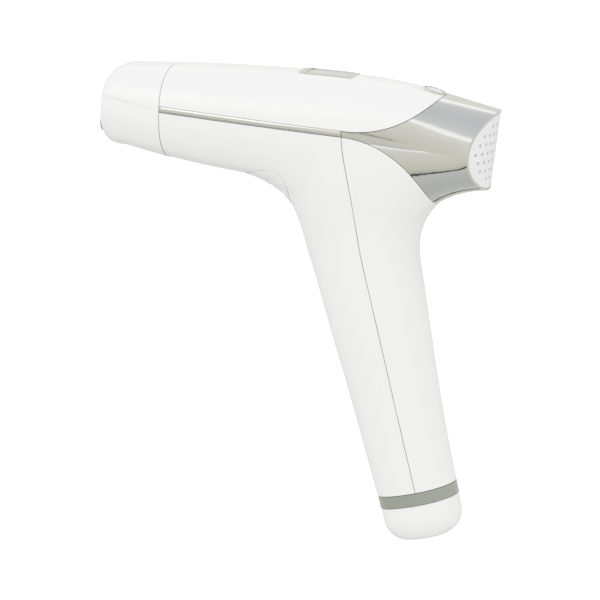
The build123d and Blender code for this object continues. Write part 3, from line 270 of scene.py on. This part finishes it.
def skin_of(node):
    """Search tree over a CAD node's faces, in the shared frame."""
    mesh, place = nodes[node].data, nodes[node].matrix_world
    corners = [place @ vertex.co for vertex in mesh.vertices]
    return corners, BVHTree.FromPolygons(corners, [face.vertices for face in mesh.polygons])


def add_piece(name, points, faces, slot, body):
    mesh = bpy.data.meshes.new(name)
    mesh.from_pydata(points, [], faces)
    mesh.polygons.foreach_set("use_smooth", [True] * len(faces))
    mesh.materials.append(looks[slot])
    piece = bpy.data.objects.new(name, mesh)
    bpy.context.collection.objects.link(piece)
    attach(piece, body)
    return piece


FLASH_OUT = Vector((-cos(radians(60)), 0, -sin(radians(60))))       # the way the flash button faces
PETALS = 12
PETAL_REACH = (4.0 * MM, 11.0 * MM)
PETAL_SPREAD = 0.19               # half the angle a petal takes, in radians
PETAL_STRETCH = 1.88              # across the button, which is wider than long
LOOP_POINTS = 48
# Places across a bead and the bead's height there, in mm.
BEAD = [(-0.5, -0.15), (-0.3, 0.22), (0, 0.36), (0.3, 0.22), (0.5, -0.15)]
PETAL_RAY_START = 30 * MM


def petal(number):
    """Outline of one petal in the button's plane, as lengths along and across it."""
    middle = 2 * pi * number / PETALS
    near_end, far_end = PETAL_REACH
    outline = []
    for step in range(LOOP_POINTS):
        turn = 2 * pi * step / LOOP_POINTS
        reach = near_end + (far_end - near_end) * (1 - cos(turn)) / 2
        angle = middle + PETAL_SPREAD * sin(turn)
        outline.append((reach * cos(angle), reach * sin(angle) * PETAL_STRETCH))
    return outline


def flash_button_petals():
    """Raised outlines of a ring of petals on the flash button's face."""
    corners, skin = skin_of("flash_button")
    along = Vector((-FLASH_OUT.z, 0, FLASH_OUT.x))
    across = Vector((0, 1, 0))
    reaches = [corner.dot(along) for corner in corners]
    front = max(corner.dot(FLASH_OUT) for corner in corners)
    centre = along * (min(reaches) + max(reaches)) / 2 + FLASH_OUT * front

    def on_skin(u, v):
        spot = centre + along * u + across * v
        place, normal, _, _ = skin.ray_cast(spot + FLASH_OUT * PETAL_RAY_START, -FLASH_OUT)
        if place is None:
            raise ValueError(f"the petals run off the button at {u:.4f}, {v:.4f}")
        return place, normal if normal.dot(FLASH_OUT) > 0 else -normal

    points, faces = [], []
    for number in range(PETALS):
        outline = petal(number)
        first = len(points)
        for here, (u, v) in enumerate(outline):
            before, after = outline[here - 1], outline[(here + 1) % LOOP_POINTS]
            run = Vector((after[0] - before[0], after[1] - before[1])).normalized()
            for shift, rise in BEAD:
                place, normal = on_skin(u - run.y * shift * MM, v + run.x * shift * MM)
                points.append(place + normal * rise * MM)
        wide = len(BEAD)
        for here in range(LOOP_POINTS):
            row, following = first + here * wide, first + (here + 1) % LOOP_POINTS * wide
            faces += [(row + k, row + k + 1, following + k + 1, following + k)
                      for k in range(wide - 1)]
            faces.append((row + wide - 1, row, following, following + wide - 1))
    return add_piece("flash_button_petals", points, faces, "white_shell", "flash_key")


STRIP_ROWS, STRIP_COLUMNS = 80, 13
STRIP_FALL = 0.5 * MM             # how far the strip's edges lie behind its middle
STRIP_DEPTH = 1.2 * MM
STRIP_END_GAP = 0.02 * MM         # keeps the end rows on the CAD strip
STRIP_SCAN_STEPS = 400            # heights tried in each row to find the strip's edges
STRIP_RAY_START = 50 * MM         # distance from the middle plane, outside the body


def rounded_strip(node):
    """The side strip with a half-round face, flush with the CAD's at its middle."""
    corners, skin = skin_of(node)
    side = 1 if sum(corner.y for corner in corners) > 0 else -1
    xs = [corner.x for corner in corners]
    first, last = min(xs) + STRIP_END_GAP, max(xs) - STRIP_END_GAP
    zs = [corner.z for corner in corners]
    bottom, rise = min(zs), max(zs) - min(zs)
    steps = [bottom + rise * k / STRIP_SCAN_STEPS for k in range(STRIP_SCAN_STEPS + 1)]

    def face_at(x, z):
        return skin.ray_cast(Vector((x, side * STRIP_RAY_START, z)), Vector((0, -side, 0)))[0]

    outer, inner = [], []
    for row in range(STRIP_ROWS):
        x = first + (last - first) * row / (STRIP_ROWS - 1)
        hits = [z for z in steps if face_at(x, z)]
        low, high = hits[0], hits[-1]
        for column in range(STRIP_COLUMNS):
            share = column / (STRIP_COLUMNS - 1)
            z = low + (high - low) * share
            y = face_at(x, min(max(z, low), high)).y
            fall = STRIP_FALL * (1 - (1 - (2 * share - 1) ** 2) ** 0.5)
            outer.append(Vector((x, y - side * fall, z)))
            inner.append(Vector((x, y - side * STRIP_DEPTH, z)))
    count, wide = len(outer), STRIP_COLUMNS
    faces = []
    for row in range(STRIP_ROWS - 1):
        for column in range(wide - 1):
            a = row * wide + column
            quad = (a, a + 1, a + wide + 1, a + wide)
            faces += [quad, tuple(count + index for index in reversed(quad))]
    for row in range(STRIP_ROWS - 1):
        for column in (0, wide - 1):
            a = row * wide + column
            faces.append((a, a + wide, count + a + wide, count + a))
    for row in (0, STRIP_ROWS - 1):
        for column in range(wide - 1):
            a = row * wide + column
            faces.append((a, a + 1, count + a + 1, count + a))
    piece = add_piece(node + "_rounded", outer + inner, faces, "chrome_trim", "casing")
    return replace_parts(piece, node)


flash_button_petals()
for strip in ("side_strip_left", "side_strip_right"):
    rounded_strip(strip)


# ---------------------------------------------------------------- stage, light and camera

FLOOR_DROP = 0.25                 # metres below the object, which floats as in a cut-out
FLOOR_HALF = 40.0


def add_floor(height):
    mesh = bpy.data.meshes.new("floor")
    corners = [(-1, -1), (1, -1), (1, 1), (-1, 1)]
    mesh.from_pydata([(x * FLOOR_HALF, y * FLOOR_HALF, height) for x, y in corners],
                     [], [(0, 1, 2, 3)])
    floor = bpy.data.objects.new("floor", mesh)
    bpy.context.collection.objects.link(floor)
    mesh.materials.append(surface(
        "floor", ((0.97, 0.97, 0.97), (0.96, 0.96, 0.96)), rough=(0.7, 0.85), tone_scale=0.6,
        rough_scale=3, grain_scale=40, grain=0.05, depth=5e-4, emission_color=(1, 1, 1, 1),
        emission_strength=0.3))
    floor.visible_glossy = False
    floor.visible_diffuse = False


# Each light's place from the object's middle, its two sides, its power and its colour.
KEY_LIGHT = (-0.7, -1.1, 1.0), (1.2, 1.2), 2.3, (1, 1, 1)
FILL_LIGHT = (0.9, -1.0, 0.3), (0.9, 0.9), 0.9, (1.0, 0.99, 0.97)


def add_light(name, target, offset, size, power, colour):
    place = target + Vector(offset)
    data = bpy.data.lights.new(name, "AREA")
    data.shape = "RECTANGLE"
    data.size, data.size_y = size
    data.energy = power
    data.color = colour
    light = bpy.data.objects.new(name, data)
    light.location = place
    light.rotation_mode = "QUATERNION"
    light.rotation_quaternion = (target - place).to_track_quat("-Z", "Y")
    bpy.context.collection.objects.link(light)
    return light


# Colours around the object by height, from straight below at 0 to straight above at 1.
LIGHTING = [
    (0.0, (0.91, 0.905, 0.89)), (0.35, (0.94, 0.94, 0.932)), (0.55, (0.94, 0.94, 0.942)),
    (1.0, (0.93, 0.93, 0.93))]
MIRRORED = [
    (0.0, (0.52, 0.53, 0.52)), (0.08, (0.58, 0.59, 0.57)), (0.15, (0.62, 0.62, 0.58)),
    (0.163, (0.05, 0.065, 0.05)), (0.176, (0.05, 0.065, 0.05)), (0.19, (0.54, 0.54, 0.48)),
    (0.25, (0.66, 0.655, 0.58)), (0.40, (0.73, 0.72, 0.65)), (0.58, (0.77, 0.76, 0.70)),
    (0.72, (0.82, 0.81, 0.77)), (0.77, (1.12, 1.12, 1.10)), (0.80, (1.08, 1.08, 1.07)),
    (0.85, (0.72, 0.73, 0.73)), (1.0, (0.62, 0.64, 0.65))]
BACKDROP_STRENGTH = 1.05


def height_colours(tree, height, stops):
    """A background that takes its colour from the stops."""
    ramp = tree.nodes.new("ShaderNodeValToRGB")
    elements = ramp.color_ramp.elements
    elements.remove(elements[1])
    elements[0].color = (*stops[0][1], 1)
    for position, colour in stops[1:]:
        elements.new(position).color = (*colour, 1)
    tree.links.new(height, ramp.inputs["Fac"])
    background = tree.nodes.new("ShaderNodeBackground")
    tree.links.new(ramp.outputs["Color"], background.inputs["Color"])
    return background.outputs["Background"]


def add_world():
    """White surroundings; shiny parts mirror pale walls with a bright strip and a dark line."""
    world = bpy.data.worlds.new("studio")
    world.use_nodes = True
    bpy.context.scene.world = world
    tree = world.node_tree
    coords = tree.nodes.new("ShaderNodeTexCoord")
    split = tree.nodes.new("ShaderNodeSeparateXYZ")
    tree.links.new(coords.outputs["Generated"], split.inputs["Vector"])
    scaled = tree.nodes.new("ShaderNodeMapRange")
    scaled.inputs["From Min"].default_value = -1
    tree.links.new(split.outputs["Z"], scaled.inputs["Value"])
    height = scaled.outputs["Result"]
    lighting = height_colours(tree, height, LIGHTING)
    mirrored = height_colours(tree, height, MIRRORED)
    seen = tree.nodes["Background"]
    seen.inputs["Color"].default_value = (1, 1, 1, 1)
    seen.inputs["Strength"].default_value = BACKDROP_STRENGTH
    ray = tree.nodes.new("ShaderNodeLightPath")
    below = lighting
    layers = (("Is Glossy Ray", mirrored), ("Is Camera Ray", seen.outputs["Background"]))
    for kind, above in layers:
        mix = tree.nodes.new("ShaderNodeMixShader")
        tree.links.new(ray.outputs[kind], mix.inputs["Fac"])
        tree.links.new(below, mix.inputs[1])
        tree.links.new(above, mix.inputs[2])
        below = mix.outputs["Shader"]
    tree.links.new(below, tree.nodes["World Output"].inputs["Surface"])


AZIMUTH, ELEVATION, ROLL = radians(13), radians(10), radians(2.1)
CAMERA_TARGET = (-0.0375, 0, 0.015)
CAMERA_DISTANCE = 2.0
LENS = 279.6


def add_camera(target):
    back = Vector((sin(AZIMUTH) * cos(ELEVATION), -cos(AZIMUTH) * cos(ELEVATION),
                   sin(ELEVATION)))
    right = Vector((cos(AZIMUTH), sin(AZIMUTH), 0))
    up = back.cross(right)
    turned_right = right * cos(ROLL) + up * sin(ROLL)
    turned_up = up * cos(ROLL) - right * sin(ROLL)
    data = bpy.data.cameras.new("camera")
    data.lens = LENS
    camera = bpy.data.objects.new("camera", data)
    axes = Matrix((turned_right, turned_up, back)).transposed().to_4x4()
    camera.matrix_world = Matrix.Translation(Vector(target) + back * CAMERA_DISTANCE) @ axes
    bpy.context.collection.objects.link(camera)
    bpy.context.scene.camera = camera


low, high = cad_box
add_floor(low.z - FLOOR_DROP)
add_world()
middle = (low + high) / 2
add_light("key", middle, *KEY_LIGHT)
fill = add_light("fill", middle, *FILL_LIGHT)
fill.visible_glossy = False
add_camera(CAMERA_TARGET)
bpy.context.scene.view_settings.view_transform = "Standard"
